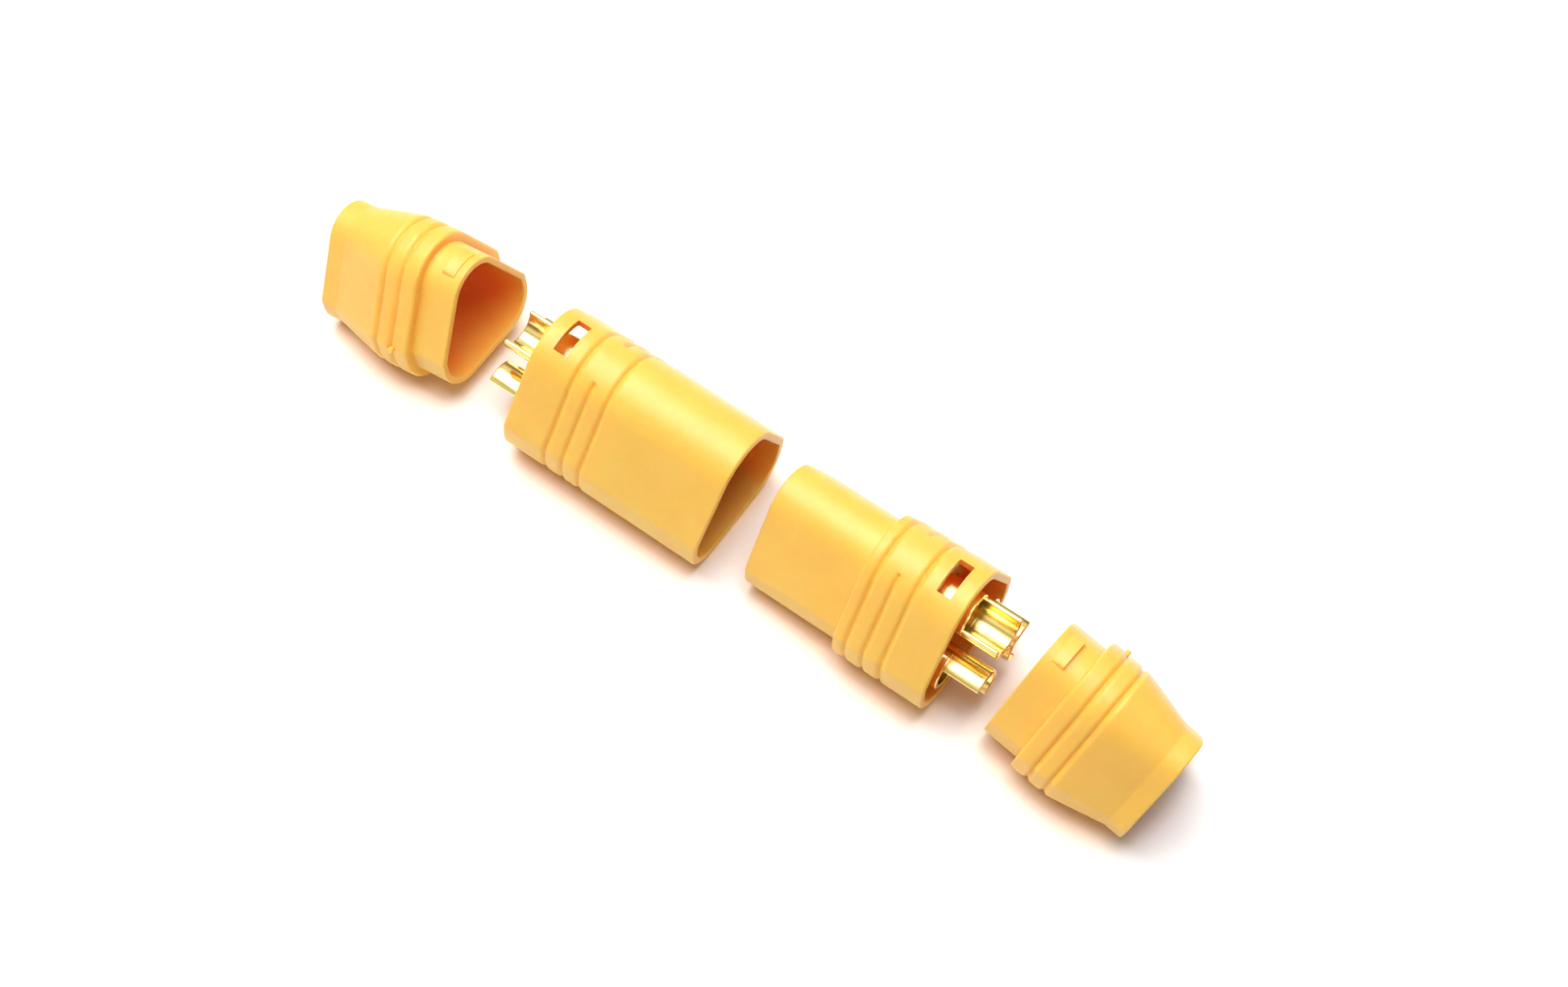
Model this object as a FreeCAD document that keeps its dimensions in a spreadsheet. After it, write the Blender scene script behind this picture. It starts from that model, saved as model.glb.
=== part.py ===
import FreeCAD
import Part
import Sketcher
import math
import os
import re

# Three-pole bullet connector for motor leads: a pin half, a socket half and two cable caps,
# laid out in a row on a table as they come to rest. Millimetres, +Z up.
# The origin lies on the table, under the middle of the pin housing's flat foot.

SIZES = {
    # The section that every moulding shares: a flat foot, large foot corners, short upright sides,
    # a gabled roof and a round apex. A foot corner gives way where a low shoulder needs the room.
    "HousingWidth": 16.0,
    "HousingHeight": 15.6,
    "RoofPitch": 60.0,
    "ApexRadius": 4.8,
    "ShoulderRadius": 1.3,
    "FootRadius": 4.9,
    "SideLeast": 0.2,
    "InnerCorner": 0.5,

    # Walls and the play between mouldings that plug together
    "ShroudWall": 0.9,
    "CollarWall": 0.85,
    "CapWall": 0.7,
    "PlugClearance": 0.15,
    "EdgeRound": 0.2,

    # Lengths of the two housings, from their rear
    "PinHousingLength": 23.35,
    "CollarLength": 10.45,
    "NoseLength": 11.3,
    "ShroudEndGap": 0.3,
    "RearWebDepth": 4.6,

    # Grip grooves
    "FirstGroove": 5.0,
    "GroovePitch": 2.06,
    "GrooveWidth": 0.5,
    "GrooveDepth": 0.4,
    "GrooveRound": 0.32,
    "GrooveBreakAngle": 66.0,
    "CutterSpare": 1.0,

    # Latch window in each collar, and the latch on each cap that snaps into it
    "WindowStart": 1.7,
    "WindowLength": 1.6,
    "WindowWidth": 4.2,
    "LatchLength": 1.4,
    "LatchHeight": 0.45,
    "LatchFrontHeight": 0.1,
    "LatchClearance": 0.1,
    "LatchSideClearance": 0.35,

    # The three contacts stand at the corners of an equal-sided triangle, its middle height a little
    # above the section's
    "ContactSpacing": 6.7,
    "ContactRaise": 0.1,
    "PinDiameter": 3.5,
    "SocketClearance": 0.04,
    "SocketTubeDiameter": 4.5,
    "BarrelDiameter": 4.7,
    "HoleClearance": 0.1,
    "BarbClearance": 0.02,
    "BarbLength": 1.0,
    "BarbRamp": 0.8,
    "BarrelSeat": 9.0,
    "CupReach": 4.2,
    "CupWall": 0.5,
    "CupDepth": 5.4,
    "CupCutHeight": 0.35,
    "CupCollar": 0.2,
    "PinTipSetback": 2.3,
    "PinNoseLength": 0.9,
    "PinNoseDiameter": 2.2,
    "PinShoulderLength": 0.27,
    "PinShoulderDiameter": 3.1,
    "PinSlotWidth": 0.6,
    "PinSlotLength": 6.5,
    "SocketLip": 0.8,
    "SocketMouthDiameter": 3.9,
    "SocketDepthSpare": 0.5,

    # Cable cap, from its mouth
    "SkirtLength": 4.05,
    "RingLength": 1.97,
    "FlareEnd": 14.4,
    "CapLength": 16.4,
    "FlareStep": 0.1,
    "FlareShoulderInset": 0.4,
    "FlareShoulderLength": 2.0,
    "TailInset": 1.55,

    # Moulding gate on one shoulder of each cap: a shallow oval dimple with a nub in it
    "GateStation": 5.8,
    "GateLean": 15.0,
    "GateLength": 2.0,
    "GateWidth": 1.1,
    "GateDepth": 0.15,
    "GateNubDiameter": 0.6,
    "GateNubHeight": 0.35,

    # How the pieces lie on the table, measured on from the pin half's rear
    "SocketHalfGap": 5.49,
    "SocketHalfShift": 0.56,
    "SocketHalfYaw": -2.24,
    "PinCapGap": 7.31,
    "PinCapShift": 0.0,
    "PinCapYaw": 1.45,
    "SocketCapGap": 5.89,
    "SocketCapShift": 0.28,
    "SocketCapYaw": -6.08,
    "SocketCapDip": 3.7,
}

doc = FreeCAD.newDocument("MotorConnector")
sheet = doc.addObject("Spreadsheet::Sheet", "Sizes")
for row, (alias, number) in enumerate(SIZES.items(), start=1):
    sheet.set("A%d" % row, alias)
    sheet.set("B%d" % row, str(number))
    sheet.setAlias("B%d" % row, alias)
doc.recompute()


# Formulas, in the names of the sheet, that several pieces share

def sized(formula):
    """The formula with every size's name pointed at the sheet."""
    return re.sub(r"\b(%s)\b" % "|".join(SIZES), r"Sizes.\1", formula)


def number(formula):
    """What a formula comes to now."""
    result = sheet.evalExpression(sized(formula))
    return float(getattr(result, "Value", result))


APEX_CENTRE = "( HousingHeight - ApexRadius )"
SHOULDER_ACROSS = "( HousingWidth / 2 - ShoulderRadius )"
SHOULDER_CENTRE = (
    "( " + APEX_CENTRE + " + ( ApexRadius - ShoulderRadius - sin(RoofPitch ) * " + SHOULDER_ACROSS
    + " ) / cos(RoofPitch ) )")
FOOT_RADIUS = "min(FootRadius ; " + SHOULDER_CENTRE + " - SideLeast )"
CONTACTS_MIDDLE = "( HousingHeight / 2 + ContactRaise )"
HALF_RISE = "( ContactSpacing * tan(60 ) / 4 )"
TOP_CONTACT = "( " + CONTACTS_MIDDLE + " + " + HALF_RISE + " )"
LOWER_CONTACTS = "( " + CONTACTS_MIDDLE + " - " + HALF_RISE + " )"
NOSE_INSET = "( ShroudWall + PlugClearance )"
SKIRT_INSET = "( CollarWall + PlugClearance )"
SHROUD_DEPTH = "( NoseLength + ShroudEndGap )"
SOCKET_HOUSING_LENGTH = "( CollarLength + NoseLength )"
HOLE_DIAMETER = "( BarrelDiameter + HoleClearance )"
RINGS_END = "( SkirtLength + 2 * RingLength )"


# Sketches

def plane(body, role):
    return next(item for item in body.Origin.OriginFeatures if item.Role == role)


def new_sketch(body, name, role, offset="0"):
    """A sketch on one of the body's own planes, moved along that plane's normal."""
    sketch = body.newObject("Sketcher::SketchObject", name)
    sketch.AttachmentSupport = (plane(body, role), [""])
    sketch.MapMode = "FlatFace"
    if offset != "0":
        sketch.setExpression(".AttachmentOffset.Base.z", sized(offset))
    return sketch


def dimension(sketch, kind, arguments, formula):
    """A dimension of the sketch, bound to the sheet."""
    index = sketch.addConstraint(Sketcher.Constraint(kind, *arguments, number(formula)))
    sketch.setExpression("Constraints[%d]" % index, sized(formula))


def at(sketch, geometry, point, across, up):
    """Holds a point of the sketch at two formulas, measured from the sketch's origin."""
    for kind, axis, formula in (("DistanceX", -2, across), ("DistanceY", -1, up)):
        if formula == "0":
            sketch.addConstraint(Sketcher.Constraint("PointOnObject", geometry, point, axis))
        else:
            dimension(sketch, kind, (-1, 1, geometry, point), formula)


def add_outline(sketch, inset):
    """The shared section, moved in by the inset (or out, where it is negative)."""
    side = "( HousingWidth / 2 - ( %s ) )" % inset
    apex_radius = "( ApexRadius - ( %s ) )" % inset
    shoulder = "max(ShoulderRadius - ( %s ) ; InnerCorner )" % inset
    shoulder_height = (
        APEX_CENTRE + " + ( %s - %s - sin(RoofPitch ) * ( %s - %s ) ) / cos(RoofPitch )"
        % (apex_radius, shoulder, side, shoulder))
    foot = "max(min(FootRadius ; %s - SideLeast ) - ( %s ) ; InnerCorner )" % (shoulder_height, inset)
    foot_across = "( %s - %s )" % (side, foot)
    foot_height = "( ( %s ) + %s )" % (inset, foot)

    def arc(across, up, radius, start, end):
        centre = FreeCAD.Vector(number(across), number(up), 0)
        circle = Part.Circle(centre, FreeCAD.Vector(0, 0, 1), number(radius))
        return Part.ArcOfCircle(circle, start, end)

    lean = math.radians(90.0 - number("RoofPitch"))
    quarter = math.pi / 2
    arcs = [
        arc(foot_across, foot_height, foot, -quarter, 0),
        arc("%s - %s" % (side, shoulder), shoulder_height, shoulder, 0, lean),
        arc("0", APEX_CENTRE, apex_radius, lean, math.pi - lean),
        arc("%s - %s" % (shoulder, side), shoulder_height, shoulder, math.pi - lean, math.pi),
        arc("-1 * " + foot_across, foot_height, foot, math.pi, math.pi + quarter),
    ]

    # Arcs and the straight stretches between them, in order round the section
    ring = []
    for here, after in zip(arcs, arcs[1:] + arcs[:1]):
        ring.append(here)
        ring.append(Part.LineSegment(here.EndPoint, after.StartPoint))
    numbers = [sketch.addGeometry(item, False) for item in ring]
    for here, after in zip(numbers, numbers[1:] + numbers[:1]):
        sketch.addConstraint(Sketcher.Constraint("Tangent", here, 2, after, 1))

    foot_a, side_a, shoulder_a, _, apex, _, shoulder_b, side_b, foot_b, floor = numbers
    sketch.addConstraint(Sketcher.Constraint("Horizontal", floor))
    sketch.addConstraint(Sketcher.Constraint("Vertical", side_a))
    sketch.addConstraint(Sketcher.Constraint("Vertical", side_b))
    for item in (foot_a, foot_b):
        dimension(sketch, "Radius", (item,), foot)
    for item in (shoulder_a, shoulder_b):
        dimension(sketch, "Radius", (item,), shoulder)
        dimension(sketch, "DistanceY", (-1, 1, item, 3), shoulder_height)
    dimension(sketch, "Radius", (apex,), apex_radius)
    at(sketch, apex, 3, "0", APEX_CENTRE)
    at(sketch, foot_a, 3, foot_across, foot_height)
    dimension(sketch, "DistanceX", (-1, 1, foot_b, 3), "-1 * " + foot_across)


def outline(body, name, station, *insets):
    """A sketch across the body at a station along it, holding one outline for each inset."""
    sketch = new_sketch(body, name, "YZ_Plane", station)
    for inset in insets:
        add_outline(sketch, inset)
    return sketch


def polygon(sketch, corners):
    """A closed chain of straight edges through corners given as pairs of formulas."""
    spots = [FreeCAD.Vector(number(x), number(y), 0) for x, y in corners]
    first = sketch.GeometryCount
    count = len(spots)
    for step in range(count):
        sketch.addGeometry(Part.LineSegment(spots[step], spots[(step + 1) % count]), False)
    for step in range(count):
        pair = (first + step, 2, first + (step + 1) % count, 1)
        sketch.addConstraint(Sketcher.Constraint("Coincident", *pair))
    for step, (x, y) in enumerate(corners):
        at(sketch, first + step, 1, x, y)


def contact_places():
    """Where the three contacts stand in the section, and how far each is turned about its axis."""
    half = "ContactSpacing / 2"
    return {
        "top": ("0", TOP_CONTACT, 0.0),
        "left": ("-1 * " + half, LOWER_CONTACTS, 120.0),
        "right": (half, LOWER_CONTACTS, -120.0),
    }


def contact_circles(body, name, station, diameter):
    """A sketch of three circles, one at each contact's place."""
    sketch = new_sketch(body, name, "YZ_Plane", station)
    for across, up, _ in contact_places().values():
        centre = FreeCAD.Vector(number(across), number(up), 0)
        circle = Part.Circle(centre, FreeCAD.Vector(0, 0, 1), number(diameter) / 2)
        index = sketch.addGeometry(circle, False)
        dimension(sketch, "Diameter", (index,), diameter)
        at(sketch, index, 3, across, up)
    return sketch


# Features

def pad(body, name, sketch, length):
    feature = body.newObject("PartDesign::Pad", name)
    feature.Profile = sketch
    feature.setExpression("Length", sized(length))
    return feature


def pocket(body, name, sketch, length, forward=True):
    """A cut along the sketch's normal, or against it."""
    feature = body.newObject("PartDesign::Pocket", name)
    feature.Profile = sketch
    feature.Reversed = forward
    feature.setExpression("Length", sized(length))
    return feature


def loft(body, name, kind, sketches):
    """A straight-sided loft through the sketches, added to the body or taken from it."""
    feature = body.newObject("PartDesign::" + kind, name)
    feature.Profile = sketches[0]
    feature.Sections = sketches[1:]
    feature.Ruled = True
    return feature


def across_cut(body, name, corners, width):
    """A cut whose side view has the given corners, centred on the body's middle plane."""
    sketch = new_sketch(body, name + "Sketch", "XZ_Plane", "( %s ) / 2" % width)
    polygon(sketch, corners)
    return pocket(body, name, sketch, width, forward=False)


def rounded(body, name, radius, chosen):
    """A fillet on the edges of the body so far that the given test picks."""
    doc.recompute()
    base = body.Tip
    edges = ["Edge%d" % (i + 1) for i, edge in enumerate(base.Shape.Edges) if chosen(edge)]
    feature = body.newObject("PartDesign::Fillet", name)
    feature.Base = (base, edges)
    feature.setExpression("Radius", sized(radius))
    return feature


def on_outer_skin(edge, station, inset=0.0):
    """True for an edge across the body at a station that lies on the section's outline."""
    box = edge.BoundBox
    if abs(box.XMin - station) > 1e-4 or abs(box.XMax - station) > 1e-4:
        return False
    spot = edge.valueAt((edge.FirstParameter + edge.LastParameter) / 2)
    return abs(skin_distance(spot.y, spot.z) + inset) < 1e-3


def skin_distance(across, up):
    """How far a point of the section is outside the outline, negative when it is inside."""
    across = abs(across)
    pitch = math.radians(number("RoofPitch"))
    apex = across * math.sin(pitch) + (up - number(APEX_CENTRE)) * math.cos(pitch) - number("ApexRadius")
    if up > number(APEX_CENTRE) + across / math.tan(pitch):
        apex = math.hypot(across, up - number(APEX_CENTRE)) - number("ApexRadius")
    side = number("HousingWidth / 2")
    corner = number(FOOT_RADIUS)
    foot = max(across - side, -up)
    if across > side - corner and up < corner:
        foot = math.hypot(across - side + corner, up - corner) - corner
    return max(apex, foot)


def grooves(body, stations, broken=()):
    """Grip grooves round the body; a broken one stops short of the apex on both sides."""
    for index, station in enumerate(stations, start=1):
        start = "( %s - GrooveWidth / 2 )" % station
        ring = outline(body, "Groove%dSketch" % index, start, "-1 * CutterSpare", "GrooveDepth")
        pocket(body, "Groove%d" % index, ring, "GrooveWidth")
        if index in broken:
            sides = [(radius, "( %s * sin(GrooveBreakAngle / 2 ) )" % radius)
                     for radius in ("ApexRadius", "( ApexRadius - 2 * GrooveDepth )")]
            patch = apex_patch(body, "Groove%dBreakSketch" % index, start, *sides)
            pad(body, "Groove%dBreak" % index, patch, "GrooveWidth")


def apex_patch(body, name, station, *sides):
    """A curved bar round the apex, its outer and inner side each a pair of radius and half width."""
    sketch = new_sketch(body, name, "YZ_Plane", station)
    quarter = math.pi / 2
    centre = FreeCAD.Vector(0, number(APEX_CENTRE), 0)
    arcs = []
    for radius, reach in sides:
        half = math.asin(number(reach) / number(radius))
        circle = Part.Circle(centre, FreeCAD.Vector(0, 0, 1), number(radius))
        arcs.append(Part.ArcOfCircle(circle, quarter - half, quarter + half))
    outer, inner = arcs
    sketch.addGeometry(outer, False)
    sketch.addGeometry(inner, False)
    sketch.addGeometry(Part.LineSegment(outer.EndPoint, inner.EndPoint), False)
    sketch.addGeometry(Part.LineSegment(inner.StartPoint, outer.StartPoint), False)
    for pair in ((0, 2, 2, 1), (2, 2, 1, 2), (1, 1, 3, 1), (3, 2, 0, 1), (0, 3, 1, 3)):
        sketch.addConstraint(Sketcher.Constraint("Coincident", *pair))
    at(sketch, 0, 3, "0", APEX_CENTRE)
    for index, (radius, reach) in enumerate(sides):
        dimension(sketch, "Radius", (index,), radius)
        dimension(sketch, "DistanceX", (-1, 1, index, 1), reach)
        dimension(sketch, "DistanceX", (-1, 1, index, 2), "-1 * " + reach)
    return sketch


HOUSING_GROOVES = ["FirstGroove", "( FirstGroove + GroovePitch )", "( FirstGroove + 2 * GroovePitch )"]


def round_grooves(body, stations, others=()):
    """Soft edges on both lips of every groove, and on other edges that rise to the outline."""
    lips = [number(station) + side * number("GrooveWidth") / 2 for station in stations for side in (-1, 1)]
    lips += [number(station) for station in others]

    def chosen(edge):
        return any(on_outer_skin(edge, lip) for lip in lips)

    rounded(body, "GrooveLips", "GrooveRound", chosen)


def rear_collar(body):
    """The open collar behind each housing's web: its hollow, the contact seats and the latch window."""
    pocket(body, "RearHollow", outline(body, "RearHollowSketch", "0", "CollarWall"), "RearWebDepth")
    seats = contact_circles(body, "ContactSeatsSketch", "RearWebDepth", HOLE_DIAMETER)
    pocket(body, "ContactSeats", seats, "BarrelSeat - RearWebDepth")
    end = "( WindowStart + WindowLength )"
    low = APEX_CENTRE
    high = "( HousingHeight + CutterSpare )"
    corners = [("WindowStart", low), (end, low), (end, high), ("WindowStart", high)]
    across_cut(body, "LatchWindow", corners, "WindowWidth")


def new_body(label):
    body = doc.addObject("PartDesign::Body", label)
    body.Label = label
    return body


# The mouldings

def pin_housing():
    """Shroud in front, collar behind, and a thick web between them that holds the contacts."""
    body = new_body("pin_housing")
    pad(body, "Outside", outline(body, "OutsideSketch", "0", "0"), "PinHousingLength")
    shroud = outline(body, "ShroudSketch", "PinHousingLength", "ShroudWall")
    pocket(body, "Shroud", shroud, SHROUD_DEPTH, forward=False)
    rear_collar(body)
    through = contact_circles(body, "PinHolesSketch", "BarrelSeat", "PinDiameter + HoleClearance")
    pocket(body, "PinHoles", through, "PinHousingLength - %s - BarrelSeat + ShroudEndGap" % SHROUD_DEPTH)
    grooves(body, HOUSING_GROOVES, broken=(2,))
    round_grooves(body, HOUSING_GROOVES)
    ends = (0.0, number("PinHousingLength"))
    rounded(body, "EndEdges", "EdgeRound", lambda edge: any(on_outer_skin(edge, end) for end in ends))
    return body


def socket_housing():
    """Collar behind, and a solid nose in front that plugs into the shroud."""
    body = new_body("socket_housing")
    pad(body, "Collar", outline(body, "CollarSketch", "0", "0"), "CollarLength")
    pad(body, "Nose", outline(body, "NoseSketch", "CollarLength", NOSE_INSET), "NoseLength")
    rear_collar(body)
    tubes = contact_circles(body, "TubeHolesSketch", "BarrelSeat", "SocketTubeDiameter + HoleClearance")
    pocket(body, "TubeHoles", tubes, SOCKET_HOUSING_LENGTH + " - SocketLip - BarrelSeat")
    mouths = contact_circles(body, "MouthsSketch", SOCKET_HOUSING_LENGTH, "SocketMouthDiameter")
    pocket(body, "Mouths", mouths, "2 * SocketLip", forward=False)
    grooves(body, HOUSING_GROOVES, broken=(2,))
    round_grooves(body, HOUSING_GROOVES)
    ends = ((0.0, 0.0), (number("CollarLength"), 0.0), (number(SOCKET_HOUSING_LENGTH), number(NOSE_INSET)))
    rounded(body, "EndEdges", "EdgeRound", lambda edge: any(on_outer_skin(edge, *end) for end in ends))
    return body


def cable_cap(label):
    """Thin skirt with the latch, two grip rings, and a flared body that narrows to the tail."""
    body = new_body(label)
    pad(body, "Skirt", outline(body, "SkirtSketch", "0", SKIRT_INSET), "SkirtLength")
    pad(body, "Rings", outline(body, "RingsSketch", "SkirtLength", "0"), "2 * RingLength")
    flare = [
        outline(body, "FlareStart", RINGS_END, "FlareStep"),
        outline(body, "FlareShoulder", RINGS_END + " + FlareShoulderLength", "FlareShoulderInset"),
        outline(body, "FlareTail", "FlareEnd", "TailInset"),
        outline(body, "TailEnd", "CapLength", "TailInset"),
    ]
    loft(body, "Flare", "AdditiveLoft", flare)
    hollow = [
        outline(body, "HollowMouth", "0", SKIRT_INSET + " + CapWall"),
        outline(body, "HollowStart", RINGS_END, SKIRT_INSET + " + CapWall"),
        outline(body, "HollowTail", "FlareEnd", "TailInset + CapWall"),
        outline(body, "HollowEnd", "CapLength", "TailInset + CapWall"),
    ]
    loft(body, "Hollow", "SubtractiveLoft", hollow)
    stations = ["( SkirtLength + RingLength )", RINGS_END]
    grooves(body, stations)
    round_grooves(body, stations, others=["SkirtLength"])
    latch(body)
    gate(body)
    return body


def latch(body):
    """A ramp on the skirt's apex that rises away from the mouth and ends in a steep edge."""
    back = "( SkirtLength - WindowStart - LatchClearance )"
    front = "( %s - LatchLength )" % back
    reach = "( WindowWidth / 2 - LatchSideClearance )"
    skin = "( ApexRadius - %s )" % SKIRT_INSET
    buried = ("( %s - CapWall )" % skin, reach)
    ramp = [
        apex_patch(body, "LatchFront", front, ("( %s + LatchFrontHeight )" % skin, reach), buried),
        apex_patch(body, "LatchBack", back, ("( %s + LatchHeight )" % skin, reach), buried),
    ]
    loft(body, "Latch", "AdditiveLoft", ramp)


def gate(body):
    """The moulding gate: an oval dimple that leans with the shoulder, and the nub left in it."""
    dimple = gate_sketch(body, "GateDimpleSketch")
    reach = "( ( GateLength - GateWidth ) / 2 )"
    quarter = math.pi / 2
    radius = number("GateWidth") / 2
    ends = []
    for side, turn in ((1, 0.0), (-1, math.pi)):
        centre = FreeCAD.Vector(0, side * number(reach), 0)
        circle = Part.Circle(centre, FreeCAD.Vector(0, 0, 1), radius)
        ends.append(Part.ArcOfCircle(circle, turn, turn + 2 * quarter))
    upper, lower = ends
    for item in (upper, Part.LineSegment(upper.EndPoint, lower.StartPoint),
                 lower, Part.LineSegment(lower.EndPoint, upper.StartPoint)):
        dimple.addGeometry(item, False)
    for here, after in ((0, 1), (1, 2), (2, 3), (3, 0)):
        dimple.addConstraint(Sketcher.Constraint("Tangent", here, 2, after, 1))
    at(dimple, 0, 3, "0", reach)
    at(dimple, 2, 3, "0", "-1 * " + reach)
    dimension(dimple, "Diameter", (0,), "GateWidth")
    pocket(body, "GateDimple", dimple, "GateDepth + CutterSpare", forward=False)
    nub = gate_sketch(body, "GateNubSketch")
    nub_radius = number("GateNubDiameter") / 2
    nub.addGeometry(Part.Circle(FreeCAD.Vector(), FreeCAD.Vector(0, 0, 1), nub_radius), False)
    nub.addConstraint(Sketcher.Constraint("Coincident", 0, 3, -1, 1))
    dimension(nub, "Diameter", (0,), "GateNubDiameter")
    pad(body, "GateNub", nub, "GateDepth + GateNubHeight").Reversed = True


def gate_sketch(body, name):
    """A sketch on the floor of the gate's dimple, facing into the wall."""
    sketch = new_sketch(body, name, "XZ_Plane")
    floor = "( ShoulderRadius - GateDepth )"
    sketch.setExpression(".AttachmentOffset.Rotation.Axis.x", "1")
    sketch.setExpression(".AttachmentOffset.Rotation.Axis.z", "0")
    sketch.setExpression(".AttachmentOffset.Rotation.Angle", sized("GateLean"))
    sketch.setExpression(".AttachmentOffset.Base.x", sized("GateStation"))
    rise = SHOULDER_CENTRE + " + " + floor + " * sin(GateLean )"
    out = "-1 * ( " + SHOULDER_ACROSS + " + " + floor + " * cos(GateLean ) )"
    sketch.setExpression(".AttachmentOffset.Base.y", sized(rise))
    sketch.setExpression(".AttachmentOffset.Base.z", sized(out))
    return sketch


# The turned contacts

def turned(label, profile):
    """A body turned about its X axis from pairs of station and radius, on the axis at both ends."""
    body = new_body(label)
    sketch = new_sketch(body, "ProfileSketch", "XZ_Plane")
    polygon(sketch, profile)
    feature = body.newObject("PartDesign::Revolution", "Turned")
    feature.Profile = sketch
    feature.ReferenceAxis = (sketch, ["H_Axis"])
    feature.Angle = 360.0
    return body


BARBS = 2


def rear_profile():
    """Solder cup and barbed barrel, up to the seat in the housing's web."""
    cup_end = "( -1 * CupReach )"
    cup_floor = "( CupDepth - CupReach )"
    barrel = "( BarrelDiameter / 2 )"
    cup = "( BarrelDiameter / 2 - CupWall )"
    barb = "( %s / 2 - BarbClearance )" % HOLE_DIAMETER
    points = [(cup_floor, "0"), (cup_floor, cup), (cup_end, cup), (cup_end, barrel)]
    for teeth_ahead in range(BARBS, 0, -1):
        back = "( BarrelSeat - %d * BarbLength )" % (teeth_ahead + 1)
        points += [(back, barrel), (back, barb), (back + " + BarbRamp", barrel)]
    return points + [("BarrelSeat", barrel)]


def open_cup(body):
    """Cuts the cup's upper side away behind the housing, which leaves a trough for the lead."""
    low = "CupCutHeight"
    high = "( BarrelDiameter / 2 + CutterSpare )"
    back = "( -1 * CupReach - CutterSpare )"
    front = "( -1 * CupCollar )"
    corners = [(back, low), (front, low), (front, high), (back, high)]
    across_cut(body, "CupOpening", corners, "BarrelDiameter + 2 * CutterSpare")


def pin_contact(label):
    tip = "( PinHousingLength - PinTipSetback )"
    pin = "( PinDiameter / 2 )"
    profile = rear_profile() + [
        ("BarrelSeat", pin),
        (tip + " - PinNoseLength", pin),
        (tip + " - PinShoulderLength", "( PinShoulderDiameter / 2 )"),
        (tip, "( PinNoseDiameter / 2 )"),
        (tip, "0")]
    body = turned(label, profile)
    open_cup(body)
    start = tip + " - PinSlotLength"
    end = tip + " + CutterSpare"
    for name, half, width in (
            ("UprightSlot", "PinDiameter", "PinSlotWidth"),
            ("LevelSlot", "PinSlotWidth / 2", "2 * PinDiameter")):
        low = "-1 * " + half
        across_cut(body, name, [(start, low), (end, low), (end, half), (start, half)], width)
    return body


def socket_contact(label):
    mouth = "( %s - SocketLip )" % SOCKET_HOUSING_LENGTH
    tube = "( SocketTubeDiameter / 2 )"
    bore = "( ( PinDiameter + SocketClearance ) / 2 )"
    # The pin reaches this far behind the nose's face when the halves are together
    pin_reach = "( NoseLength - PinTipSetback )"
    floor = "( %s - %s - SocketDepthSpare )" % (SOCKET_HOUSING_LENGTH, pin_reach)
    profile = rear_profile() + [
        ("BarrelSeat", tube),
        (mouth, tube),
        (mouth, bore),
        (floor, bore),
        (floor, "0")]
    body = turned(label, profile)
    open_cup(body)
    return body


# Placing

def moved(x, y=0.0, z=0.0):
    return FreeCAD.Placement(FreeCAD.Vector(x, y, z), FreeCAD.Rotation())


def turned_about(axis, degrees):
    return FreeCAD.Placement(FreeCAD.Vector(), FreeCAD.Rotation(FreeCAD.Vector(*axis), degrees))


def in_section(place):
    """A contact's place inside its housing."""
    across, up, turn = place
    return moved(0.0, number(across), number(up)).multiply(turned_about((1, 0, 0), turn))


def lying(x, y, yaw, dip, pivot, lift=0.0):
    """A piece on the table: tipped down towards its own +X about a foot edge, then turned and moved."""
    tip = turned_about((0, 1, 0), dip).multiply(moved(-pivot))
    return moved(x, y, lift).multiply(turned_about((0, 0, 1), yaw)).multiply(tip)


def cap_lying(x, y, yaw, dip):
    """A cable cap tipped towards its tail, with the lowest edge of its foot on the table."""
    foot = [
        (rings_end, 0.0),
        (rings_end + number("FlareShoulderLength"), number("FlareShoulderInset")),
        (number("CapLength"), number("TailInset")),
    ]
    angle = math.radians(dip)
    lowest = min(up * math.cos(angle) - (along - rings_end) * math.sin(angle) for along, up in foot)
    return lying(x, y, yaw, dip, rings_end, -lowest)


pin_rear = -(number("FirstGroove + 2 * GroovePitch") + number("PinHousingLength")) / 2
pin_half = moved(pin_rear)

# The socket half leans on the end of its nose and the front edge of its collar
nose_dip = math.degrees(math.atan2(number(NOSE_INSET), number("NoseLength")))
socket_step = pin_rear + number("PinHousingLength + SocketHalfGap + NoseLength")
socket_yaw = 180.0 + number("SocketHalfYaw")
socket_half = lying(socket_step, number("SocketHalfShift"), socket_yaw, nose_dip, number("CollarLength"))

# The pin side's cap leans on its tail and the end of its rings, the other cap mostly on its rings
rings_end = number(RINGS_END)
tail_dip = math.degrees(math.atan2(number("TailInset"), number("CapLength") - rings_end))
pin_cap_x = pin_rear - number("PinCapGap") - rings_end
pin_cap = cap_lying(pin_cap_x, number("PinCapShift"), 180.0 + number("PinCapYaw"), tail_dip)
socket_cap_x = socket_step + number("CollarLength + SocketCapGap") + rings_end
socket_cap = cap_lying(socket_cap_x, number("SocketCapShift"), number("SocketCapYaw"), number("SocketCapDip"))

pieces = [
    (pin_housing(), pin_half),
    (socket_housing(), socket_half),
    (cable_cap("pin_side_cap"), pin_cap),
    (cable_cap("socket_side_cap"), socket_cap),
]
for side, place in contact_places().items():
    pieces.append((pin_contact("pin_contact_" + side), pin_half.multiply(in_section(place))))
    pieces.append((socket_contact("socket_contact_" + side), socket_half.multiply(in_section(place))))

doc.recompute()
for body, placement in pieces:
    body.Placement = placement
doc.recompute()


# Checks, then the files

def check(items):
    for item in items:
        if "Invalid" in item.State or "Error" in item.State:
            raise RuntimeError("%s is in state %s" % (item.Name, item.State))


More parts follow.
